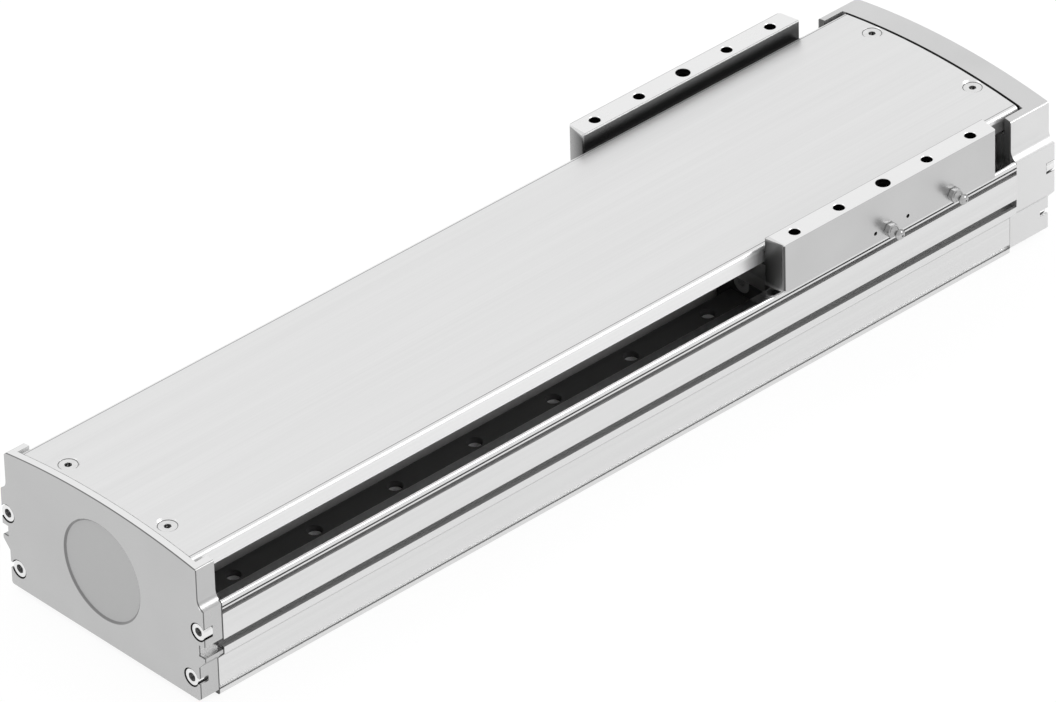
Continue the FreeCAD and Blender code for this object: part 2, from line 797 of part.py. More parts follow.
def place_piece(piece, x, y, height):
    for axis, value in (("x", x), ("y", y), ("z", height)):
        piece.setExpression(f"Placement.Base.{axis}", as_size(value).text)


def bind(piece, **sizes):
    for name, value in sizes.items():
        piece.setExpression(name, as_size(value).text)


def flush_screw(i, x, y, top):
    """One countersunk screw with a hexagon socket, its flat head level with the given height."""
    head_height = z.m6_flush_head_radius - z.m6_shank_radius
    head = doc.addObject("Part::Cone", f"flush_head_{i}")
    place_piece(head, x, y, top - head_height)
    bind(head, Radius1=z.m6_shank_radius, Radius2=z.m6_flush_head_radius, Height=head_height)
    shank = doc.addObject("Part::Cylinder", f"flush_shank_{i}")
    place_piece(shank, x, y, top - z.cover_screw_length)
    bind(shank, Radius=z.m6_shank_radius, Height=z.cover_screw_length - head_height)
    solid = doc.addObject("Part::Fuse", f"flush_solid_{i}")
    solid.Base = head
    solid.Tool = shank
    key = doc.addObject("Part::Prism", f"flush_key_{i}")
    key.Polygon = 6
    place_piece(key, x, y, top - z.m6_flush_key_depth)
    bind(key, Circumradius=z.m6_flush_key / math.sqrt(3), Height=z.m6_flush_key_depth + 1)
    cut = doc.addObject("Part::Cut", f"flush_screw_{i}")
    cut.Base = solid
    cut.Tool = key
    return cut


# Two guide rails with waisted flanks and counterbored holes, and the screws that hold them down.
def rail_outline():
    wide = z.rail_half_width
    top = z.rail_height
    chamfer = z.rail_top_chamfer
    waist = z.rail_waist
    flanks = [(wide, z.rail_foot_top), (waist, z.rail_waist_bottom), (waist, z.rail_waist_top),
              (wide, z.rail_head_bottom)]
    return mirrored([(0, 0), (wide, 0), *flanks, (wide, top - chamfer), (wide - chamfer, top), (0, top)])


def guide_rails():
    for label, side in (("guide_rail_left", 1), ("guide_rail_right", -1)):
        body = new_body(label, None, side * rail_y, z.rail_seat)
        start = -half_profile + z.rail_end_gap
        section = sketch_on(body, "YZ", start)
        draw(section, rail_outline())
        pad(body, section, profile_length - z.rail_end_gap * 2)
        places = [(x, 0) for x in rail_holes_x]
        holes(body, "XY", 0, z.rail_height, places, z.m5_free_radius)
        bore = z.rail_height - z.rail_counterbore_depth
        holes(body, "XY", bore, z.rail_counterbore_depth, places, z.rail_counterbore_radius)
    seat = z.rail_seat + z.rail_height - z.rail_counterbore_depth
    screws("rail_screws", "XY", seat, True, rail_places(), M5, z.rail_screw_length)


# Four carriages, each a steel block with a plastic end plate and a thin rubber seal at both ends.
def carriage_section(inset):
    """Outline of a carriage around its rail, from the middle of the rail's foot; inset makes it smaller."""
    wide = z.carriage_half_width - inset
    top = z.carriage_height - inset
    low = z.carriage_bottom + inset
    chamfer = z.carriage_chamfer
    inner = z.rail_half_width + z.carriage_clearance
    ceiling = z.rail_height + z.carriage_clearance
    return mirrored([(0, ceiling), (inner, ceiling), (inner, low), (wide, low), (wide, top - chamfer),
                     (wide - chamfer, top), (0, top)])


port_height = z.carriage_height - z.carriage_plate_inset - z.carriage_port_drop


def port_outline(radius, top):
    """Outline of the round grease port of an end plate, cut off level at the top."""
    rise = top - port_height
    half_chord = root(radius * radius - rise * rise)
    return [(-half_chord, top), Arc(radius), (0, port_height - radius), Arc(radius), (half_chord, top)]


def carriage_screw_places(x, y):
    reach = block_length / 2 - z.carriage_hole_inset
    return [(x + along * reach, y + across * z.carriage_hole_y) for along in SIDES for across in SIDES]


def carriages():
    screw_places = []
    corners = (("drive_left", 1, 1), ("drive_right", 1, -1), ("idle_left", -1, 1), ("idle_right", -1, -1))
    for name, along, across in corners:
        x = along * carriage_x
        y = across * rail_y
        half = block_length / 2
        block = new_body("carriage_block_" + name, slide_x + x, y, z.rail_seat)
        section = sketch_on(block, "YZ", -half)
        draw(section, carriage_section(0))
        pad(block, section, block_length)
        holes(block, "XY", z.carriage_height - z.carriage_hole_depth, z.carriage_hole_depth,
              carriage_screw_places(0, 0), z.m5_hole_radius)
        plates = new_body("carriage_ends_" + name, slide_x + x, y, z.rail_seat)
        seals = new_body("carriage_seals_" + name, slide_x + x, y, z.rail_seat)
        outside = half + z.carriage_plate_thickness
        for start in (-outside, half):
            section = sketch_on(plates, "YZ", start)
            draw(section, carriage_section(z.carriage_plate_inset))
            pad(plates, section, z.carriage_plate_thickness)
        for start in (-outside - z.carriage_seal_thickness, outside):
            section = sketch_on(seals, "YZ", start)
            draw(section, carriage_section(z.carriage_seal_inset))
            pad(seals, section, z.carriage_seal_thickness)
            notch = sketch_on(seals, "YZ", start)
            draw(notch, port_outline(z.carriage_port_radius + z.carriage_port_gap, z.carriage_height))
            pocket(seals, notch, z.carriage_seal_thickness)
            port = sketch_on(plates, "YZ", start)
            draw(port, port_outline(z.carriage_port_radius, z.carriage_height - z.carriage_plate_inset))
            ring(port, (0, port_height), z.carriage_port_hole_radius)
            pad(plates, port, z.carriage_seal_thickness)
        screw_places += carriage_screw_places(x, y)
    screws("carriage_screws", "XY", z.plate_top - z.plate_counterbore_depth, True, screw_places, M5,
           z.carriage_screw_length, slide_x)
    return screw_places


# Slide: a thick plate on the carriages, under the cover, with a bar along each side that stands above it.
def bar_outline():
    """Plan of the right-hand bar: its ends slant back towards the outside and the outer corners are round."""
    half = z.slide_length / 2
    back = half - z.bar_end_slant
    r = z.bar_round
    return [(-half, wall_inner), (half, wall_inner), (back, bar_outer - r), Arc(r), (back - r, bar_outer),
            (-(back - r), bar_outer), Arc(r), (-back, bar_outer - r)]


def across(outline):
    """The same plan on the other side of the axis, kept in the same turning sense."""
    swapped = []
    for item in reversed(outline):
        swapped.append(item if isinstance(item, Arc) else (item[0], -as_size(item[1])))
    return swapped


def slide_body(screw_places):
    body = new_body("slide_body", slide_x)
    half = z.slide_length / 2 - z.plate_end_inset
    section = sketch_on(body, "YZ", -half)
    seat = z.rail_seat + z.carriage_height
    shoulder = wall_inner - z.plate_side_inset
    into_bar = wall_inner + 1
    ceiling = z.hub_ceiling
    hub = bracket_half_width + z.hub_gap
    right = [(0, ceiling), (hub, ceiling), (hub, seat), (shoulder, seat),
             (shoulder, z.bar_bottom), (into_bar, z.bar_bottom), (into_bar, z.plate_top),
             (z.ridge_half_width + z.ridge_slope, z.plate_top), (z.ridge_half_width, z.ridge_top),
             (0, z.ridge_top)]
    draw(section, mirrored(right))
    pad(body, section, half * 2)
    bars = sketch_on(body, "XY", z.bar_bottom)
    draw(bars, bar_outline())
    draw(bars, across(bar_outline()))
    pad(body, bars, z.bar_top - z.bar_bottom)
    middle = wall_inner + z.bar_width / 2
    sides = (middle, -middle)
    threads = [(z.hole_spacing * i, y) for y in sides for i in (-2, -1, 1, 2)]
    centrings = [(0, y) for y in sides]
    depth = z.thread_hole_depth
    holes(body, "XY", z.bar_top - depth, depth, threads + centrings, z.thread_hole_radius)
    chamfer_round_edges(body, z.thread_hole_radius, z.bar_top, z.thread_hole_chamfer, threads)
    holes(body, "XY", z.bar_top - z.centring_depth, z.centring_depth, centrings, z.centring_radius)
    # Screws into the carriages and the nut bracket
    seat_height = z.plate_top - z.plate_counterbore_depth
    holes(body, "XY", seat, z.plate_top - seat, screw_places, z.m5_free_radius)
    holes(body, "XY", seat_height, z.plate_counterbore_depth, screw_places, z.plate_counterbore_radius)
    bracket_seat = z.ridge_top - z.plate_counterbore_depth
    holes(body, "XY", z.hub_ceiling, z.ridge_top - z.hub_ceiling, bracket_places(), z.m5_free_radius)
    holes(body, "XY", bracket_seat, z.plate_counterbore_depth, bracket_places(), z.plate_counterbore_radius)
    # Holes in the outer faces of the bars: two small blind holes and the seats of the grease nipples
    pins = [(z.pin_hole_offset, z.pin_hole_height), (-z.pin_hole_offset, z.pin_hole_height)]
    for start in (bar_outer - z.pin_hole_depth, -bar_outer):
        holes(body, "XZ", start, z.pin_hole_depth, pins, z.pin_hole_radius)
    reach = z.nipple_shank_length + 0.5
    for start in (bar_outer - reach, -bar_outer):
        holes(body, "XZ", start, reach, nipple_places(), z.m6_hole_radius)


def chamfer_round_edges(body, radius, height, width, places):
    """Chamfers the mouths of round holes found by their radius, height and place."""
    doc.recompute()
    names = []
    for i, edge in enumerate(body.Shape.Edges, start=1):
        if not hasattr(edge, "Curve") or edge.Curve.TypeId != "Part::GeomCircle":
            continue
        centre = edge.Curve.Center
        if abs(edge.Curve.Radius - radius.number) > 1e-4 or abs(centre.z - height.number) > 1e-4:
            continue
        for x, y in places:
            if abs(centre.x - slide_x.number - x.number) < 0.01 and abs(centre.y - y.number) < 0.01:
                names.append(f"Edge{i}")
    holed = body.Tip
    chamfer = body.newObject("PartDesign::Chamfer", "Chamfer")
    chamfer.Base = (holed, names)
    chamfer.setExpression("Size", width.text)
    doc.recompute()


def bracket_places():
    return [(along * z.bracket_screw_x, side * bracket_screw_y)
            for along in SIDES for side in SIDES]


def nipple_places():
    return [(z.nipple_middle, z.nipple_height), (z.nipple_drive, z.nipple_height)]


# Grease nipples screwed into the outer faces of both bars.
def grease_nipples():
    made = []
    for side, turn in ((1, -90), (-1, 90)):
        for i, (x, height) in enumerate(nipple_places()):
            name = ("left" if side > 0 else "right") + str(i)
            hexagonal = doc.addObject("Part::Prism", "nipple_hex_" + name)
            hexagonal.Polygon = 6
            bind(hexagonal, Circumradius=z.nipple_hex / math.sqrt(3), Height=z.nipple_hex_length)
            shank = doc.addObject("Part::Cylinder", "nipple_shank_" + name)
            bind(shank, Radius=z.nipple_shank_radius, Height=z.nipple_shank_length)
            neck = doc.addObject("Part::Cone", "nipple_neck_" + name)
            neck_length = z.nipple_length - z.nipple_hex_length - z.nipple_head_radius
            bind(neck, Radius1=z.nipple_head_radius, Radius2=z.nipple_neck_radius, Height=neck_length)
            head = doc.addObject("Part::Cone", "nipple_head_" + name)
            bind(head, Radius1=z.nipple_head_foot_radius, Radius2=z.nipple_neck_radius,
                 Height=z.nipple_head_radius)
            shank.setExpression("Placement.Base.z", (-z.nipple_shank_length).text)
            neck.setExpression("Placement.Base.z", z.nipple_hex_length.text)
            head.setExpression("Placement.Base.z", (z.nipple_length - z.nipple_head_radius).text)
            together = doc.addObject("Part::MultiFuse", "nipple_" + name)
            together.Shapes = [hexagonal, shank, neck, head]
            together.Placement.Rotation = FreeCAD.Rotation(FreeCAD.Vector(1, 0, 0), turn)
            place_piece(together, slide_x + x, side * bar_outer, height)
            made.append(together)
    group = doc.addObject("Part::Compound", "grease_nipples")
    group.Links = made


# Black seals that close the gap between each bar and the cover, with a foot under the cover's lip.
def gap_seals():
    face = cover_edge + z.seal_running_gap
    foot_start = wall_inner - z.seal_foot_width
    foot_top = z.plate_top + z.seal_foot_thickness
    outline = [(foot_start, z.plate_top), (wall_inner, z.plate_top), (wall_inner, z.seal_top),
               (face, z.seal_top), (face, foot_top), (foot_start, foot_top)]
    half = z.slide_length / 2 - z.plate_end_inset
    for label, side in (("gap_seal_left", 1), ("gap_seal_right", -1)):
        body = new_body(label, slide_x)
        section = sketch_on(body, "YZ", -half)
        draw(section, outline if side > 0 else flipped(outline))
        pad(body, section, half * 2)


# Ball nut in a bracket that hangs from the slide plate.
def nut_bracket():
    body = new_body("nut_bracket", slide_x)
    wide = bracket_half_width
    section = sketch_on(body, "YZ", -z.bracket_half_length)
    chamfer = z.bracket_chamfer
    low = z.bracket_bottom
    draw(section, mirrored([(0, low), (wide - chamfer, low), (wide, low + chamfer), (wide, z.hub_ceiling),
                            (0, z.hub_ceiling)]))
    pad(body, section, z.bracket_half_length * 2)
    holes(body, "YZ", -z.bracket_half_length, z.bracket_half_length * 2, [(0, z.spindle_height)],
          z.nut_outer_radius + z.fit_gap)
    seat = z.ridge_top - z.plate_counterbore_depth
    depth = z.bracket_screw_length - seat + z.hub_ceiling + 1
    holes(body, "XY", z.hub_ceiling - depth, depth, bracket_places(), z.m5_hole_radius)
    screws("bracket_screws", "XY", seat, True, bracket_places(), M5, z.bracket_screw_length, slide_x)


def ball_nut():
    seat = z.bracket_half_length
    half = seat + z.nut_collar_width
    outer = z.nut_outer_radius
    bore = z.nut_bore_radius
    collar = z.nut_collar_radius
    turned("ball_nut", [[(-half, bore), (half, bore), (half, collar), (seat, collar), (seat, outer),
                         (-half, outer)]], slide_x)
    turned("nut_lock_ring", [box(-half, outer + z.fit_gap, -seat, collar)], slide_x)
    inside = z.spindle_radius + z.wiper_gap
    outside = outer - z.wiper_inset
    end = half + z.wiper_thickness
    turned("nut_wipers", [box(-end, inside, -half, outside), box(half, inside, end, outside)], slide_x)


# Screw spindle with its journals, and the parts that turn with it.
def spindle():
    idle_end = idle_bearing_start + z.bearing_end_gap
    idle_shoulder = idle_bearing_start + z.idle_bearing_width
    shoulder = half_profile + z.drive_bearing_shoulder
    bearing_end = shoulder + z.drive_bearing_width
    nut_end = bearing_end + z.lock_nut_width
    seal_end = drive_face + z.lid_height + z.seal_journal_reach
    shaft_end = drive_face + z.lid_height + z.shaft_length
    thread_idle_end = -half_profile + z.thread_idle_inset
    thread_drive_end = half_profile - z.thread_drive_inset
    turned("spindle", [[(idle_end, 0), (shaft_end, 0), (shaft_end, z.shaft_radius - z.shaft_chamfer),
                        (shaft_end - z.shaft_chamfer, z.shaft_radius), (seal_end, z.shaft_radius),
                        (seal_end, z.seal_journal_radius), (nut_end, z.seal_journal_radius),
                        (nut_end, z.drive_journal_radius),
                        (shoulder, z.drive_journal_radius), (shoulder, z.spindle_collar_radius),
                        (thread_drive_end, z.spindle_collar_radius), (thread_drive_end, z.spindle_radius),
                        (thread_idle_end, z.spindle_radius), (thread_idle_end, z.idle_shoulder_radius),
                        (idle_shoulder, z.idle_shoulder_radius), (idle_shoulder, z.idle_journal_radius),
                        (idle_end, z.idle_journal_radius)]])
    turned("shaft_lock_nut", [box(bearing_end, z.drive_journal_radius, nut_end, z.lock_nut_radius)])


# Bearings: an outer ring in the cap and an inner ring on the journal, with the balls' room between them.
def bearing(name, start, width, bore, outside):
    wall = (outside - bore) * z.ring_share
    turned(name + "_bearing_outer", [box(start, outside - wall, start + width, outside)])
    turned(name + "_bearing_inner", [box(start, bore, start + width, bore + wall)])


def bearings():
    bearing("idle", idle_bearing_start, z.idle_bearing_width, z.idle_journal_radius,
            z.idle_bearing_outer_radius)
    bearing("drive", half_profile + z.drive_bearing_shoulder, z.drive_bearing_width, z.drive_journal_radius,
            z.drive_bearing_outer_radius)


# Bearing lid in a shallow recess of the drive face, with the shaft seal in it and four small screws.
def bearing_lid():
    spigot = drive_face - z.lid_spigot
    outside = drive_face + z.lid_height
    cavity = spigot + z.lid_cavity_depth
    fit = z.drive_bearing_outer_radius
    body = turned("bearing_lid", [[(spigot, z.lid_cavity_radius), (cavity, z.lid_cavity_radius),
                                   (cavity, z.shaft_seal_radius), (outside, z.shaft_seal_radius),
                                   (outside, z.lid_radius), (lid_seat, z.lid_radius), (lid_seat, fit),
                                   (spigot, fit)]])
    places = lid_places(0)
    holes(body, "YZ", lid_seat, outside - lid_seat, places, z.m4_free_radius)
    head_room = z.m4_head_radius + z.lid_head_gap
    holes(body, "YZ", outside - z.m4_head_height, z.m4_head_height, places, head_room)
    inner = z.seal_journal_radius + z.shaft_seal_gap
    turned("shaft_seal", [box(cavity, inner, outside, z.shaft_seal_radius)])
    screws("lid_screws", "YZ", outside - z.m4_head_height, True, lid_places(z.spindle_height), M4,
           z.lid_screw_length)


# Rubber stops on the inner faces of both caps.
def end_stops():
    body = new_body("end_stops")
    places = [(side * z.stop_offset, z.stop_height) for side in SIDES]
    for start in (-half_profile, half_profile - z.stop_length):
        sketch = sketch_on(body, "YZ", start)
        for place in places:
            ring(sketch, place, z.stop_radius)
        pad(body, sketch, z.stop_length)


base_profile()
idle_end_cap()
drive_end_cap()
cap_screws()
cover_with_countersinks()
guide_rails()
carriage_screw_set = carriages()
slide_body(carriage_screw_set)
grease_nipples()
gap_seals()
nut_bracket()
ball_nut()
spindle()
bearings()
bearing_lid()
end_stops()

doc.recompute()
problems = []
for item in doc.Objects:
    if "Invalid" in item.State or "Error" in item.State:
        problems.append(item.Label + " " + str(item.State))

BUILT_UP = ("cover_plate", "cover_screws", "grease_nipples")
nodes = {}
for item in doc.Objects:
    if item.Name in BUILT_UP or (item.TypeId == "PartDesign::Body" and item.Name != "cover_blank"):
        nodes[item.Label] = item
for label, item in nodes.items():
    if item.Shape.isNull() or not item.Shape.isValid() or not item.Shape.Solids:
        problems.append(label + " has no valid shape")
if problems:
    raise SystemExit("\n".join(problems))

os.makedirs("parts", exist_ok=True)
for label, item in nodes.items():
    item.Shape.exportStep(os.path.join("parts", label + ".step"))
    size = item.Shape.BoundBox
    print(label, len(item.Shape.Solids), round(item.Shape.Volume, 1),
          [round(v, 2) for v in (size.XMin, size.YMin, size.ZMin, size.XMax, size.YMax, size.ZMax)])
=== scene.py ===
import math

import bmesh
import bpy
from mathutils import Matrix, Vector


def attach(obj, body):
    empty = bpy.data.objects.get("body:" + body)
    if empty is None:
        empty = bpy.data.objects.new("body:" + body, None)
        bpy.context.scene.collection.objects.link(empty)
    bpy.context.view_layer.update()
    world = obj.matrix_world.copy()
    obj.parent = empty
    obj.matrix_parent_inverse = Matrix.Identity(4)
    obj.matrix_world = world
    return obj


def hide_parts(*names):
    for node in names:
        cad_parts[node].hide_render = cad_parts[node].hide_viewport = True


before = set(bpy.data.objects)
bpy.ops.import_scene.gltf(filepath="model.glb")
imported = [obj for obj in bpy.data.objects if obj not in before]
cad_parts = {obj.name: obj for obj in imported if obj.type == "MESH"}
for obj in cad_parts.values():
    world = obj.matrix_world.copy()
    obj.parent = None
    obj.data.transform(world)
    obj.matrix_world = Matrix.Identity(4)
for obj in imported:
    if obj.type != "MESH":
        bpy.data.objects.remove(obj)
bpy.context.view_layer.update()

# Extruded base: one long aluminium section with nut slots and sensor slots, silver anodised and smooth.
# The press leaves faint lines along it. Painted shade darkens the slots, the edge groove, the bend over the
# foot, the foot groove's lower edge and the seam at the idle cap, and painted light makes the room inside and
# the foot groove lighter and duller.
MILLIMETRE = 0.001
SHARE_OF_STREAKS = 0.12  # width of a narrow line as a share of a broad streak
NOISE_LOW = 0.3
NOISE_HIGH = 0.7
BUMP_STRENGTH = 0.4
# Sockets of a Mix node that mixes colours
FIRST_COLOUR = 6
SECOND_COLOUR = 7
MIXED_COLOUR = 2


def add_node(tree, kind, inputs=None, **settings):
    """Adds a node, with its settings and with values or links on its named sockets."""
    made = tree.nodes.new(kind)
    for name, value in settings.items():
        setattr(made, name, value)
    for socket, value in (inputs or {}).items():
        if isinstance(value, bpy.types.NodeSocket):
            tree.links.new(value, made.inputs[socket])
        else:
            made.inputs[socket].default_value = value
    return made


def effect_group(name, inputs, outputs):
    """An empty node group: a place on the surface and the named values go in, float values come out."""
    group = bpy.data.node_groups.new(name, "ShaderNodeTree")
    group.interface.new_socket(name="Place", in_out="INPUT", socket_type="NodeSocketVector")
    for socket, value in inputs.items():
        kind = "NodeSocketVector" if isinstance(value, tuple) else "NodeSocketFloat"
        made = group.interface.new_socket(name=socket, in_out="INPUT", socket_type=kind)
        made.default_value = value
    for socket in outputs:
        group.interface.new_socket(name=socket, in_out="OUTPUT", socket_type="NodeSocketFloat")
    return group, group.nodes.new("NodeGroupInput"), group.nodes.new("NodeGroupOutput")


def drawn_lines():
    """Fine lines along X: narrow ones, with broader streaks under them."""
    group, given, result = effect_group("drawn_lines", {"Along": 8.0, "Across": 2500.0}, ["Lines", "Streaks"])
    for socket, share in (("Lines", 1.0), ("Streaks", SHARE_OF_STREAKS)):
        across = add_node(group, "ShaderNodeMath", {0: given.outputs["Across"], 1: share},
                          operation="MULTIPLY")
        scale = add_node(group, "ShaderNodeCombineXYZ",
                         {"X": given.outputs["Along"], "Y": across.outputs[0], "Z": across.outputs[0]})
        place = add_node(group, "ShaderNodeVectorMath", {0: given.outputs["Place"], 1: scale.outputs[0]},
                         operation="MULTIPLY")
        noise = add_node(group, "ShaderNodeTexNoise",
                         {"Vector": place.outputs[0], "Scale": 1.0, "Detail": 2.0, "Roughness": 0.6})
        group.links.new(noise.outputs[0], result.inputs[socket])
    return group


def soft_cloud():
    """Slow, soft changes over the surface, and a fine even grain like blasted or anodised metal."""
    group, given, result = effect_group("soft_cloud", {"Size": 12.0, "Grain": 2200.0}, ["Cloud", "Grain"])
    for socket, scale, detail in (("Cloud", "Size", 3.0), ("Grain", "Grain", 1.0)):
        noise = add_node(group, "ShaderNodeTexNoise",
                         {"Vector": given.outputs["Place"], "Scale": given.outputs[scale], "Detail": detail})
        group.links.new(noise.outputs[0], result.inputs[socket])
    return group


def math_node(group, operation, first, second, **settings):
    made = add_node(group, "ShaderNodeMath", {0: first, 1: second}, operation=operation, **settings)
    return made.outputs[0]


def vector_node(group, operation, first, second=None, output=0):
    inputs = {0: first} if second is None else {0: first, 1: second}
    return add_node(group, "ShaderNodeVectorMath", inputs, operation=operation).outputs[output]


def from_middle(group, given):
    """Where the surface lies from Middle, or from its mirror image on the other side of the axis."""
    place = add_node(group, "ShaderNodeSeparateXYZ", {0: given.outputs["Place"]})
    across = math_node(group, "ABSOLUTE", place.outputs[1], 0.0)
    folded = add_node(group, "ShaderNodeCombineXYZ", {0: place.outputs[0], 1: across, 2: place.outputs[2]})
    return vector_node(group, "SUBTRACT", folded.outputs[0], given.outputs["Middle"])


def put_mask(group, given, result, outside):
    """Turns a distance outside a shape into a mask with a soft edge."""
    steep = math_node(group, "DIVIDE", outside, given.outputs["Soft"])
    mask = math_node(group, "SUBTRACT", 0.5, steep, use_clamp=True)
    group.links.new(mask, result.inputs["Mask"])


def inside_box():
    """Marks the surface inside a box and inside its mirror image."""
    inputs = {"Middle": (0.0, 0.0, 0.0), "Half": (1.0, 1.0, 1.0), "Soft": 0.0002}
    group, given, result = effect_group("inside_box", inputs, ["Mask"])
    away = vector_node(group, "ABSOLUTE", from_middle(group, given))
    outside = vector_node(group, "SUBTRACT", away, given.outputs["Half"])
    parts = add_node(group, "ShaderNodeSeparateXYZ", {0: outside})
    most = math_node(group, "MAXIMUM", parts.outputs[0], parts.outputs[1])
    most = math_node(group, "MAXIMUM", most, parts.outputs[2])
    put_mask(group, given, result, most)
    return group


DRAWN_LINES = drawn_lines()
SOFT_CLOUD = soft_cloud()
INSIDE_BOX = inside_box()


def grey(value):
    return (value, value, value)


def box_patch(tone, low, high, soft=0.0002):
    """A patch of another grey in a box, from its low corner to its high one, on both sides of the axis."""
    middle = tuple((a + b) / 2 for a, b in zip(low, high))
    half = tuple((b - a) / 2 for a, b in zip(low, high))
    return INSIDE_BOX, {"Middle": middle, "Half": half, "Soft": soft}, tone


def blend_value(tree, value, low, high):
    """Spreads a noise value around 0.5 over the given limits."""
    limits = {"Value": value, "From Min": NOISE_LOW, "From Max": NOISE_HIGH, "To Min": low, "To Max": high}
    return add_node(tree, "ShaderNodeMapRange", limits).outputs[0]


def surface(name, dark, light, metallic, smooth, rough, lines=None, cloud_size=12.0, grain_depth=0.02,
            line_depth=0.0, patches=(), patch_metallic=0.2):
    """A material whose colour and roughness vary with the cloud, the grain and, if given, drawn lines.

    Depths are in millimetres; lines gives the scale of the lines along X and across it.
    """
    material = bpy.data.materials.new(name)
    material.use_nodes = True
    tree = material.node_tree
    shader = tree.nodes["Principled BSDF"]
    place = add_node(tree, "ShaderNodeTexCoord").outputs["Object"]
    cloud = add_node(tree, "ShaderNodeGroup", {"Place": place, "Size": cloud_size}, node_tree=SOFT_CLOUD)
    pattern = cloud.outputs["Cloud"]
    height = cloud.outputs["Grain"]
    depth = grain_depth
    if lines:
        drawn = add_node(tree, "ShaderNodeGroup", {"Place": place, "Along": lines[0], "Across": lines[1]},
                         node_tree=DRAWN_LINES)
        mixed = add_node(tree, "ShaderNodeMath", {0: drawn.outputs["Lines"], 1: drawn.outputs["Streaks"]},
                         operation="ADD")
        halved = add_node(tree, "ShaderNodeMath", {0: mixed.outputs[0], 1: 0.5}, operation="MULTIPLY")
        pattern = halved.outputs[0]
        height = halved.outputs[0]
        depth = line_depth
    mix = add_node(tree, "ShaderNodeMix", {"Factor": blend_value(tree, pattern, 0.0, 1.0)}, data_type="RGBA")
    mix.inputs[FIRST_COLOUR].default_value = (*dark, 1.0)
    mix.inputs[SECOND_COLOUR].default_value = (*light, 1.0)
    colour = mix.outputs[MIXED_COLOUR]
    covered = None
    for group, sizes, tone in patches:
        mask = add_node(tree, "ShaderNodeGroup", {"Place": place, **sizes}, node_tree=group).outputs[0]
        mix = add_node(tree, "ShaderNodeMix", {"Factor": mask, FIRST_COLOUR: colour}, data_type="RGBA")
        mix.inputs[SECOND_COLOUR].default_value = (*grey(tone), 1.0)
        colour = mix.outputs[MIXED_COLOUR]
        if covered:
            mask = add_node(tree, "ShaderNodeMath", {0: covered, 1: mask}, operation="MAXIMUM").outputs[0]
        covered = mask
    if covered:
        metal = add_node(tree, "ShaderNodeMapRange",
                         {"Value": covered, "To Min": metallic, "To Max": patch_metallic})
        tree.links.new(metal.outputs[0], shader.inputs["Metallic"])
    else:
        shader.inputs["Metallic"].default_value = metallic
    bump = add_node(tree, "ShaderNodeBump",
                    {"Height": height, "Strength": BUMP_STRENGTH, "Distance": depth * MILLIMETRE})
    tree.links.new(colour, shader.inputs["Base Color"])
    tree.links.new(blend_value(tree, pattern, smooth, rough), shader.inputs["Roughness"])
    tree.links.new(bump.outputs[0], shader.inputs["Normal"])
    return material


def dress(material, *names):
    """Gives CAD nodes their finished material."""
    for name in names:
        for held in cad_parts[name].material_slots:
            held.material = material


BASE_HALF = 0.3060
SLOT_FLOOR = 0.0746
WALL_FACE = 0.0837


def along_base(tone, inner, outer, bottom, top, soft=0.0002):
    """A patch of another grey that runs along the whole base."""
    return box_patch(tone, (-BASE_HALF, inner, bottom), (BASE_HALF, outer, top), soft)


# Painted light: the room inside gets a lighter, less metallic grey so that its shaded walls render brighter.
room_inside_painted_light = box_patch(0.82, (-0.3055, 0.0, 0.0165), (0.3055, 0.0745, 0.0640))
# Painted shade: the inside of the nut slots is a darker grey.
nut_slot_shade = along_base(0.33, SLOT_FLOOR, WALL_FACE, 0.0310, 0.0440)
# Painted shade: the inside of the sensor slots is a darker grey.
sensor_slot_shade = along_base(0.42, SLOT_FLOOR, WALL_FACE, 0.0555, 0.0606)
# Painted shade: a dark line in the groove under the wall's rounded top.
edge_groove_shade = along_base(0.16, SLOT_FLOOR, WALL_FACE, 0.0608, 0.0624)
# Painted shade: a faint darker line along the bend over the foot.
bend_shade = along_base(0.60, 0.0770, 0.0790, 0.0244, 0.0251, 0.0003)
# Painted light: the foot groove is painted lighter so that its shaded walls match the faces beside it.
foot_groove_painted_light = along_base(0.93, 0.0750, 0.0780, 0.0030, 0.0066)
# Painted shade: a dark line along the lower edge of the foot groove.
foot_groove_edge_shade = along_base(0.18, 0.0771, 0.0780, 0.0030, 0.0040)
# Painted shade: the base's end is near-black along the seam at the idle cap.
idle_seam_shade = box_patch(0.06, (-0.3070, 0.0, 0.0), (-0.3056, 0.0850, 0.0655))
anodised = surface(
    "anodised_extrusion", grey(0.69), grey(0.75), 1.0, 0.13, 0.19, lines=(2.0, 900.0), line_depth=0.003,
    patches=(room_inside_painted_light, nut_slot_shade, sensor_slot_shade, edge_groove_shade, bend_shade, foot_groove_painted_light, foot_groove_edge_shade,
             idle_seam_shade))
dress(anodised, "base_profile")

# End caps: machined aluminium plates with blasted and anodised faces, screwed to the ends of the base.
# The idle cap is darker, with a shallow round recess in its face. Painted shade darkens the recess, its rim,
# the seams, the edge of the face, the gaps around the screw heads, the gap at the cover and the end of the
# drive cap's ear, and painted light brightens the idle cap's top.
IDLE_FACE = -0.3200
DRIVE_FACE = 0.3370
SPINDLE_HEIGHT = 0.05
SCREWS_ACROSS = ((0.0792, 0.0496), (0.0718, 0.0157))
ALONG_X = (0.0, 1.0, 1.0)
RECESS = (IDLE_FACE, 0.0, SPINDLE_HEIGHT)
RECESS_RADIUS = 0.0306
# Inner and outer radius of the painted shade in the gap around a screw head, and its reach
SCREW_GAP_SHADE = (0.0051, 0.0059, 0.0068)


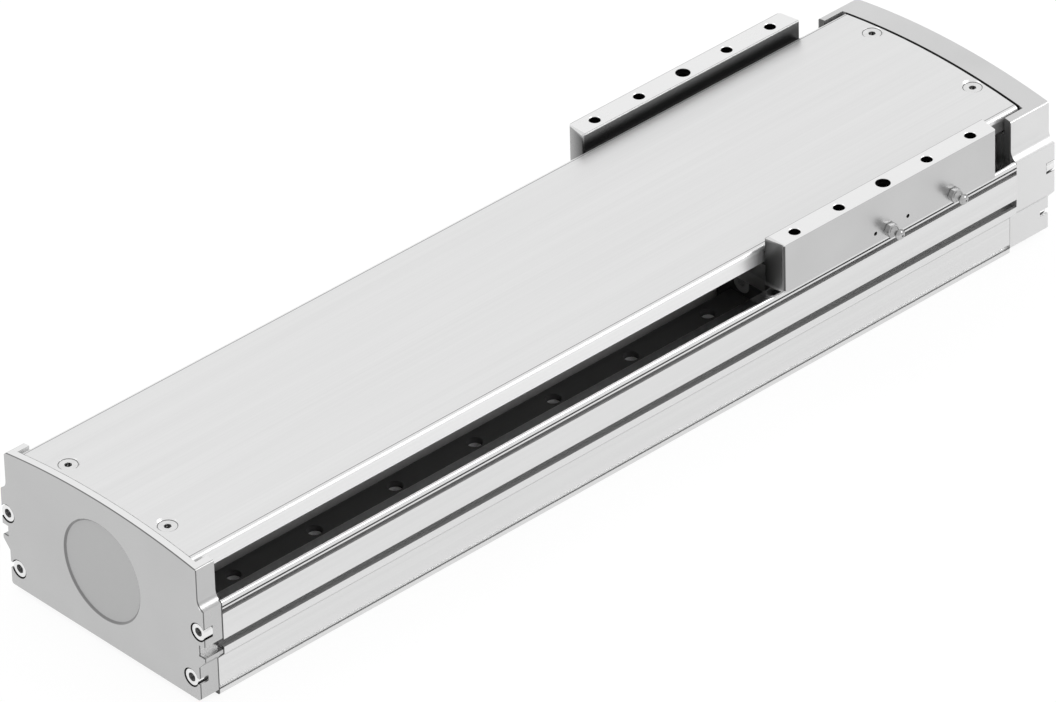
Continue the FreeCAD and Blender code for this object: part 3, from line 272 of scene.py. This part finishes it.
def inside_tube():
    """Marks a tube around a line through Middle, and its mirror image; Across is 1 for the axes across it."""
    inputs = {"Middle": (0.0, 0.0, 0.0), "Across": (0.0, 1.0, 1.0), "Radius": 0.0, "Wall": 0.001,
              "Reach": 0.001, "Soft": 0.0002}
    group, given, result = effect_group("inside_tube", inputs, ["Mask"])
    away = from_middle(group, given)
    across = vector_node(group, "MULTIPLY", away, given.outputs["Across"])
    along = vector_node(group, "LENGTH", vector_node(group, "SUBTRACT", away, across), output="Value")
    radius = vector_node(group, "LENGTH", across, output="Value")
    beside = math_node(group, "ABSOLUTE", math_node(group, "SUBTRACT", radius, given.outputs["Radius"]), 0.0)
    beyond_wall = math_node(group, "SUBTRACT", beside, given.outputs["Wall"])
    beyond_end = math_node(group, "SUBTRACT", along, given.outputs["Reach"])
    put_mask(group, given, result, math_node(group, "MAXIMUM", beyond_wall, beyond_end))
    return group


INSIDE_TUBE = inside_tube()


def tube_patch(tone, middle, across, inner, outer, reach=0.002, soft=0.0002):
    """A patch of another grey between two radii around an axis."""
    sizes = {"Middle": middle, "Across": across, "Radius": (inner + outer) / 2, "Wall": (outer - inner) / 2,
             "Reach": reach, "Soft": soft}
    return INSIDE_TUBE, sizes, tone


def around_cap_screws(tone, face, inner, outer, reach):
    return tuple(tube_patch(tone, (face, *place), ALONG_X, inner, outer, reach) for place in SCREWS_ACROSS)


# Painted light: the idle cap's top is much lighter than its faces.
idle_top_painted_light = box_patch(0.80, (-0.3188, 0.0, 0.0850), (-0.3000, 0.0780, 0.1000))
# Painted shade: a dark line along the edge of the idle cap's face.
face_edge_shade = box_patch(0.12, (-0.3197, 0.0, 0.0), (-0.3189, 0.0900, 0.1000), 0.0001)
# Painted shade: near-black along the seam where the idle cap meets the base.
base_seam_shade = box_patch(0.06, (-0.3066, 0.0760, 0.0), (-0.3058, 0.0900, 0.0660), 0.0001)
# Painted shade: the floor of the round recess is a little darker.
recess_floor_shade = tube_patch(0.455, RECESS, ALONG_X, 0.0, RECESS_RADIUS)
# Painted shade: a dark ring around the rim of the round recess.
recess_rim_shade = tube_patch(0.22, RECESS, ALONG_X, RECESS_RADIUS, 0.0318)
idle_finish = surface(
    "blasted_idle_cap", grey(0.50), grey(0.54), 0.9, 0.20, 0.28, cloud_size=20.0, grain_depth=0.012,
    patches=(idle_top_painted_light, face_edge_shade, base_seam_shade, recess_floor_shade, recess_rim_shade)
    + around_cap_screws(0.03, IDLE_FACE, *SCREW_GAP_SHADE))
dress(idle_finish, "idle_end_cap")
# Painted shade: near-black where the drive cap meets the cover's end.
cover_gap_shade = box_patch(0.03, (0.3180, 0.0, 0.0700), (0.3211, 0.0712, 0.1000))
# Painted shade: the inner end of the drive cap's ear is dark.
ear_end_shade = box_patch(0.10, (0.3055, 0.0720, 0.0600), (0.3064, 0.0784, 0.1000))
drive_finish = surface(
    "blasted_drive_cap", grey(0.69), grey(0.74), 0.9, 0.30, 0.38, cloud_size=20.0, grain_depth=0.012,
    patches=(cover_gap_shade, ear_end_shade) + around_cap_screws(0.03, DRIVE_FACE, *SCREW_GAP_SHADE))
dress(drive_finish, "drive_end_cap")

# Cover plate: crowned aluminium sheet brushed along its length, with a painted dark line before each rounded
# edge as painted reflection. Four flush screws hold it in countersinks, each ringed with painted shade, and
# the end of each lip by the drive cap is painted dark as painted shade.
COVER_SCREWS = ((-0.3057, 0.0412, 0.0935), (0.3128, 0.0412, 0.0935))
ALONG_Z = (1.0, 1.0, 0.0)


def around_cover_screws(tone, inner, outer):
    return tuple(tube_patch(tone, place, ALONG_Z, inner, outer, 0.01, 0.0001) for place in COVER_SCREWS)


# Painted reflection: a dark line where the crown meets each rounded edge.
edge_line_reflection = box_patch(0.25, (-0.3300, 0.0683, 0.0900), (0.3300, 0.0688, 0.1000), 0.0001)
# Painted shade: the end of each lip near the drive cap is dark.
lip_end_shade = box_patch(0.16, (0.2900, 0.0690, 0.0800), (0.3200, 0.0720, 0.0885), 0.0010)
# Painted shade: a dark ring around each cover screw's head.
brushed = surface(
    "brushed_cover", grey(0.81), grey(0.86), 0.8, 0.28, 0.30, lines=(3.0, 700.0), line_depth=0.0004,
    patches=(edge_line_reflection, lip_end_shade) + around_cover_screws(0.12, 0.0053, 0.0058))
dress(brushed, "cover_plate")

# Screws: turned and rolled steel. Those outside are bright plated, with painted shade darkening their hexagon
# sockets, and those inside are oiled and darker.
# Radius of the painted shade in a cover screw's hexagon socket
COVER_SOCKET_SHADE_RADIUS = 0.0021
# Inner and outer radius of the painted shade in a cap screw's socket, and its reach
CAP_SOCKET_SHADE = (0.0, 0.0027, 0.01)
bright = surface("bright_steel", grey(0.74), grey(0.86), 1.0, 0.16, 0.26, cloud_size=300.0, grain_depth=0.01)
dress(bright, "lid_screws")
flush_bright = surface("bright_flush_screw", grey(0.80), grey(0.88), 0.9, 0.16, 0.26, cloud_size=300.0,
                       grain_depth=0.01, patches=around_cover_screws(0.05, 0.0, COVER_SOCKET_SHADE_RADIUS))
dress(flush_bright, "cover_screws")
cap_bright = surface(
    "bright_cap_screw", grey(0.80), grey(0.88), 0.9, 0.16, 0.26, cloud_size=300.0, grain_depth=0.01,
    patches=around_cap_screws(0.16, IDLE_FACE, *CAP_SOCKET_SHADE)
    + around_cap_screws(0.16, DRIVE_FACE, *CAP_SOCKET_SHADE))
dress(cap_bright, "idle_cap_screws", "drive_cap_screws")
oiled = surface("oiled_steel", grey(0.62), grey(0.72), 0.3, 0.28, 0.40, cloud_size=300.0, grain_depth=0.01)
dress(oiled, "rail_screws", "carriage_screws", "bracket_screws", "shaft_lock_nut")

# Guide rails: hardened steel, painted near-black for the shade under the cover, ground along their length and
# screwed to the base every 60 mm.
shaded_rail = surface("rail_painted_shade", grey(0.05), grey(0.07), 0.2, 0.34, 0.46, lines=(2.0, 1500.0), line_depth=0.01)
dress(shaded_rail, "guide_rail_left", "guide_rail_right")

# Carriages: ground steel blocks that run on the rails. Dark plastic plates with the ball returns close their
# ends, and black rubber seals are fixed outside those.
ground = surface("ground_block", grey(0.20), grey(0.30), 0.9, 0.30, 0.42, lines=(2.0, 1500.0),
                 line_depth=0.01)
moulded = surface("moulded_plate", grey(0.16), grey(0.20), 0.0, 0.42, 0.55, cloud_size=60.0, grain_depth=0.04)
rubber = surface("black_rubber", grey(0.012), grey(0.02), 0.0, 0.55, 0.7, cloud_size=90.0, grain_depth=0.04)
corners = ("drive_left", "drive_right", "idle_left", "idle_right")
for corner in corners:
    dress(ground, "carriage_block_" + corner)
    dress(moulded, "carriage_ends_" + corner)
    dress(rubber, "carriage_seals_" + corner)

# Slide: a milled and anodised aluminium plate with a bar along each side, and black strips that seal the gap
# between each bar and the cover. Painted light brightens the bars' tops, and painted shade darkens their
# holes, their inner faces and their ends and corners at the idle end.
milled = surface("milled_aluminium", grey(0.56), grey(0.62), 1.0, 0.24, 0.32, cloud_size=18.0,
                 grain_depth=0.004)
# Painted light: the bars' tops are much lighter than their sides.
bar_tops_painted_light = box_patch(0.94, (0.1000, 0.0754, 0.0997), (0.3000, 0.0886, 0.1010))
# Painted shade: the bars' end faces at the idle end are near-black.
idle_ends_shade = box_patch(0.05, (0.1120, 0.0, 0.0700), (0.1150, 0.0866, 0.0990), 0.0030)
# Painted shade: the bars' outer corners at the idle end are dark.
idle_corners_shade = box_patch(0.10, (0.1150, 0.0874, 0.0690), (0.1164, 0.0885, 0.0990))
# Painted shade: the bars' inner faces are near-black.
inner_faces_shade = box_patch(0.08, (0.1150, 0.0740, 0.0780), (0.2900, 0.0752, 0.0990))
# Painted shade: the holes in the bars are near-black inside.
bar_holes_shade = box_patch(0.025, (0.1185, 0.0774, 0.0700), (0.2815, 0.0866, 0.0996), 0.0001)
slide_finish = surface(
    "milled_slide", grey(0.535), grey(0.585), 1.0, 0.26, 0.34, cloud_size=18.0, grain_depth=0.004,
    patches=(bar_tops_painted_light, idle_ends_shade, idle_corners_shade, inner_faces_shade, bar_holes_shade), patch_metallic=0.9)
dress(slide_finish, "slide_body")
seal_plastic = surface("seal_strip", grey(0.01), grey(0.018), 0.0, 0.45, 0.6, cloud_size=80.0,
                       grain_depth=0.03)
dress(seal_plastic, "gap_seal_left", "gap_seal_right")

# Grease nipples: bright plated steel, each with a hexagon, a narrow neck and a round head with a small inlet.
# Two are screwed into the outer face of each bar, level with the lower seals.
NIPPLE_X = (0.198, 0.249)
NIPPLE_LEVEL = 0.0732
BAR_FACE = 0.089
HEXAGON = 0.008
HEXAGON_DEPTH = 0.004
HEXAGON_EDGE = 0.0005
NIPPLE_STEPS = 32
LONGEST_RIM = 40  # most edges around a hole that is closed
SAME_PLACE = 0.000001
# Distance from the bar's face and radius of the turned part, from the hexagon to the inlet
NECK_AND_HEAD = ((0.0038, 0.0033), (0.0046, 0.0031), (0.0056, 0.0022), (0.0064, 0.0020), (0.0070, 0.0022),
                 (0.0077, 0.0029), (0.0086, 0.00325), (0.0096, 0.0030), (0.0105, 0.0021), (0.0109, 0.0012),
                 (0.0109, 0.0006), (0.0102, 0.0005))
SHARP_ANGLE = math.radians(35)


def finish_piece(name, shape, material, body):
    """Closes a bmesh into a named piece with outward faces, sharp edges kept, riding on a body."""
    bmesh.ops.remove_doubles(shape, verts=shape.verts, dist=SAME_PLACE)
    bmesh.ops.recalc_face_normals(shape, faces=shape.faces)
    for face in shape.faces:
        face.smooth = True
    mesh = bpy.data.meshes.new(name)
    shape.to_mesh(mesh)
    shape.free()
    mesh.set_sharp_from_angle(angle=SHARP_ANGLE)
    mesh.materials.append(material)
    piece = bpy.data.objects.new(name, mesh)
    bpy.context.scene.collection.objects.link(piece)
    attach(piece, body)
    return piece


def spun(shape, profile, steps, angle=math.tau, rise=0.0):
    """Turns (distance along X, radius) points about X into the bmesh; a rise per step makes it a helix."""
    points = [shape.verts.new((along, 0.0, radius)) for along, radius in profile]
    edges = [shape.edges.new(pair) for pair in zip(points, points[1:])]
    bmesh.ops.spin(shape, geom=points + edges, cent=(0, 0, 0), axis=(1, 0, 0), dvec=(rise, 0, 0), angle=angle,
                   steps=steps, use_merge=rise == 0.0)
    bmesh.ops.remove_doubles(shape, verts=shape.verts, dist=SAME_PLACE)


def grease_nipples():
    shape = bmesh.new()
    for side in (1, -1):
        for x in NIPPLE_X:
            one = bmesh.new()
            corner_radius = HEXAGON / math.sqrt(3)
            bmesh.ops.create_cone(one, cap_ends=True, segments=6, radius1=corner_radius,
                                  radius2=corner_radius, depth=HEXAGON_DEPTH)
            bmesh.ops.bevel(one, geom=one.edges[:], offset=HEXAGON_EDGE, affect="EDGES", segments=2,
                            profile=0.5, material=-1)
            along_x = Matrix.Rotation(math.radians(90), 4, "Y")
            ahead = Matrix.Translation((HEXAGON_DEPTH / 2, 0, 0))
            bmesh.ops.transform(one, matrix=ahead @ along_x, verts=one.verts)
            spun(one, NECK_AND_HEAD, NIPPLE_STEPS)
            bmesh.ops.holes_fill(one, edges=one.edges, sides=LONGEST_RIM)
            outward = Matrix.Rotation(math.radians(90 * side), 4, "Z")
            on_bar = Matrix.Translation((x, side * BAR_FACE, NIPPLE_LEVEL)) @ outward
            bmesh.ops.transform(one, matrix=on_bar, verts=one.verts)
            held = bpy.data.meshes.new("one_nipple")
            one.to_mesh(held)
            one.free()
            shape.from_mesh(held)
            bpy.data.meshes.remove(held)
    return shape


plated = surface("plated_nipple", grey(0.34), grey(0.52), 1.0, 0.12, 0.20, cloud_size=400.0, grain_depth=0.01)
nipples = finish_piece("nipples", grease_nipples(), plated, "slide")
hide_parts("grease_nipples")

# Ball nut and its bracket: a ground steel nut, held by a lock ring in a milled aluminium block that is
# screwed to the slide, with a pale plastic wiper at each end.
nut_steel = surface("nut_steel", grey(0.40), grey(0.52), 1.0, 0.22, 0.34, cloud_size=60.0, grain_depth=0.01)
dress(nut_steel, "ball_nut", "nut_lock_ring")
dress(milled, "nut_bracket")
wiper_plastic = surface("wiper_plastic", (0.70, 0.69, 0.64), (0.76, 0.75, 0.70), 0.0, 0.40, 0.5,
                        cloud_size=90.0)
dress(wiper_plastic, "nut_wipers")

# Spindle: ground steel with a rolled right-hand ball thread between turned journals, and the bearings' rings
# pressed on its ends. The thread runs between the two bearings, and its groove fits the balls.
polished = surface("polished_spindle", grey(0.55), grey(0.68), 1.0, 0.18, 0.3, cloud_size=60.0,
                   grain_depth=0.01)
LEAD = 0.010
SCREW_RADIUS = 0.0125
GROOVE_HALF_WIDTH = 0.0023
GROOVE_DEPTH = 0.0013
GROOVE_POINTS = 8
THREAD_START = -0.301
THREAD_END = 0.303
STEPS_PER_TURN = 24
JOURNAL_STEPS = 48
# Ends of the journals along X, and their radii, at the idle end and at the drive end
IDLE_JOURNALS = ((-0.315, 0.0), (-0.315, 0.0075), (-0.3062, 0.0075), (-0.3062, 0.0095), (-0.3008, 0.0095),
                 (-0.3008, 0.0))
DRIVE_JOURNALS = ((0.3028, 0.0), (0.3028, 0.0115), (0.310, 0.0115), (0.310, 0.0085), (0.339, 0.0085),
                  (0.339, 0.008), (0.3435, 0.008), (0.3435, 0.0075), (0.3642, 0.0075), (0.365, 0.0067),
                  (0.365, 0.0))


def ball_thread():
    """One pitch of the thread's outline, turned about the axis from before one end to past the other."""
    shape = bmesh.new()
    start = THREAD_START - LEAD
    middle = start + LEAD / 2
    profile = [(start, SCREW_RADIUS)]
    for i in range(GROOVE_POINTS + 1):
        across = 2 * i / GROOVE_POINTS - 1
        profile.append((middle + across * GROOVE_HALF_WIDTH,
                        SCREW_RADIUS - GROOVE_DEPTH * math.cos(across * math.pi / 2)))
    profile.append((start + LEAD, SCREW_RADIUS))
    turns = math.ceil((THREAD_END - start) / LEAD) + 1
    spun(shape, profile, turns * STEPS_PER_TURN, math.tau * turns, LEAD / STEPS_PER_TURN)
    for end, side in ((THREAD_START, -1), (THREAD_END, 1)):
        everything = shape.verts[:] + shape.edges[:] + shape.faces[:]
        bmesh.ops.bisect_plane(shape, geom=everything, plane_co=(end, 0, 0), plane_no=(side, 0, 0),
                               clear_outer=True)
    rims = [edge for edge in shape.edges if edge.is_boundary]
    bmesh.ops.contextual_create(shape, geom=[edge for edge in rims if edge.verts[0].co.x < 0])
    bmesh.ops.contextual_create(shape, geom=[edge for edge in rims if edge.verts[0].co.x > 0])
    return shape


def spindle():
    shape = ball_thread()
    spun(shape, IDLE_JOURNALS, JOURNAL_STEPS)
    spun(shape, DRIVE_JOURNALS, JOURNAL_STEPS)
    bmesh.ops.translate(shape, verts=shape.verts, vec=(0, 0, SPINDLE_HEIGHT))
    return shape


screw_spindle = finish_piece("ball_screw", spindle(), polished, "screw")
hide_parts("spindle")
dress(bright, "idle_bearing_outer", "idle_bearing_inner", "drive_bearing_outer", "drive_bearing_inner")

# Bearing lid: a turned and blasted aluminium lid, screwed to the drive cap, with a rubber seal around the
# shaft. The four rubber stops for the slide sit on the inner faces of both caps.
dress(drive_finish, "bearing_lid")
dress(rubber, "shaft_seal", "end_stops")

# Floor: a plain pale ground that throws a little light back up. It is white to the camera and in reflections,
# with a very faint shadow, and clear when seen from below, so that the underside of the base shows.
FLOOR_HALF = 30.0
FLOOR_LEVEL = -0.0004
FLOOR_GREY = 0.85
FLOOR_WHITE = 1.02
SHADOW_SHARE = 0.14


def floor_material():
    material = bpy.data.materials.new("pale_floor")
    material.use_nodes = True
    tree = material.node_tree
    tree.nodes.remove(tree.nodes["Principled BSDF"])
    path = add_node(tree, "ShaderNodeLightPath")
    seen = math_node(tree, "MAXIMUM", path.outputs["Is Camera Ray"], path.outputs["Is Glossy Ray"])
    matt = add_node(tree, "ShaderNodeBsdfDiffuse", {"Color": (*grey(FLOOR_GREY), 1.0)})
    faint = add_node(tree, "ShaderNodeBsdfDiffuse", {"Color": (*grey(SHADOW_SHARE), 1.0)})
    glow = add_node(tree, "ShaderNodeEmission",
                    {"Color": (1.0, 1.0, 1.0, 1.0), "Strength": FLOOR_WHITE - SHADOW_SHARE})
    white = add_node(tree, "ShaderNodeAddShader", {0: faint.outputs[0], 1: glow.outputs[0]})
    mix = add_node(tree, "ShaderNodeMixShader", {0: seen, 1: matt.outputs[0], 2: white.outputs[0]})
    below = add_node(tree, "ShaderNodeNewGeometry").outputs["Backfacing"]
    clear = add_node(tree, "ShaderNodeBsdfTransparent")
    sided = add_node(tree, "ShaderNodeMixShader", {0: below, 1: mix.outputs[0], 2: clear.outputs[0]})
    tree.links.new(sided.outputs[0], tree.nodes["Material Output"].inputs["Surface"])
    return material


shape = bmesh.new()
bmesh.ops.create_grid(shape, x_segments=1, y_segments=1, size=FLOOR_HALF,
                      matrix=Matrix.Translation((0, 0, FLOOR_LEVEL)))
mesh = bpy.data.meshes.new("floor")
shape.to_mesh(mesh)
shape.free()
floor = bpy.data.objects.new("floor", mesh)
floor.data.materials.append(floor_material())
bpy.context.scene.collection.objects.link(floor)

# Studio light: an even pale surround, a soft lamp that draws the bright line along the rounded edges, and a
# weaker one behind.
WORLD_LEVEL = 0.86
LAMP_AIM = (0, 0, 0.05)
world = bpy.data.worlds.new("studio")
bpy.context.scene.world = world
world.use_nodes = True
world_tree = world.node_tree
path = add_node(world_tree, "ShaderNodeLightPath")
level = add_node(world_tree, "ShaderNodeMapRange",
                 {"Value": path.outputs["Is Camera Ray"], "To Min": WORLD_LEVEL, "To Max": 1.0})
background = world_tree.nodes["Background"]
background.inputs["Color"].default_value = (1.0, 1.0, 1.0, 1.0)
world_tree.links.new(level.outputs[0], background.inputs["Strength"])


def soft_lamp(name, place, size, power):
    lamp = bpy.data.lights.new(name, "AREA")
    lamp.shape = "SQUARE"
    lamp.size = size
    lamp.energy = power
    holder = bpy.data.objects.new(name, lamp)
    holder.location = place
    holder.rotation_euler = (Vector(LAMP_AIM) - Vector(place)).to_track_quat("-Z", "Y").to_euler()
    bpy.context.scene.collection.objects.link(holder)


soft_lamp("edge_lamp", (1.5, -1.5, 1.65), 1.2, 12.0)
soft_lamp("back_lamp", (-0.8, 1.2, 2.0), 1.6, 8.0)

# Camera: a very long lens, so that edges along the axis stay almost parallel. It looks down from the right
# side and the idle end, as in the photograph.
AZIMUTH = math.radians(-42.127)
ELEVATION = math.radians(34.251)
ROLL = math.radians(1.672)
AIM = Vector((-0.0188, 0.0, 0.04317))
OFFSET = Vector((-0.0131, -0.00634, -5.9105))
LENS = 357.6
SENSOR = 36.0
FARTHEST = 100.0

level_back = Vector((math.sin(AZIMUTH), -math.cos(AZIMUTH), 0.0))
back = level_back * math.cos(ELEVATION) + Vector((0.0, 0.0, math.sin(ELEVATION)))
right = Vector((math.cos(AZIMUTH), math.sin(AZIMUTH), 0.0))
up = back.cross(right)
turned_right = right * math.cos(ROLL) - up * math.sin(ROLL)
turned_up = right * math.sin(ROLL) + up * math.cos(ROLL)
rotation = Matrix((turned_right, turned_up, back)).transposed()
lens = bpy.data.cameras.new("photo_camera")
lens.sensor_width = SENSOR
lens.lens = LENS
lens.clip_end = FARTHEST
camera = bpy.data.objects.new("photo_camera", lens)
camera.matrix_world = Matrix.Translation(AIM - rotation @ OFFSET) @ rotation.to_4x4()
bpy.context.scene.collection.objects.link(camera)
bpy.context.scene.camera = camera
bpy.context.scene.view_settings.view_transform = "Standard"
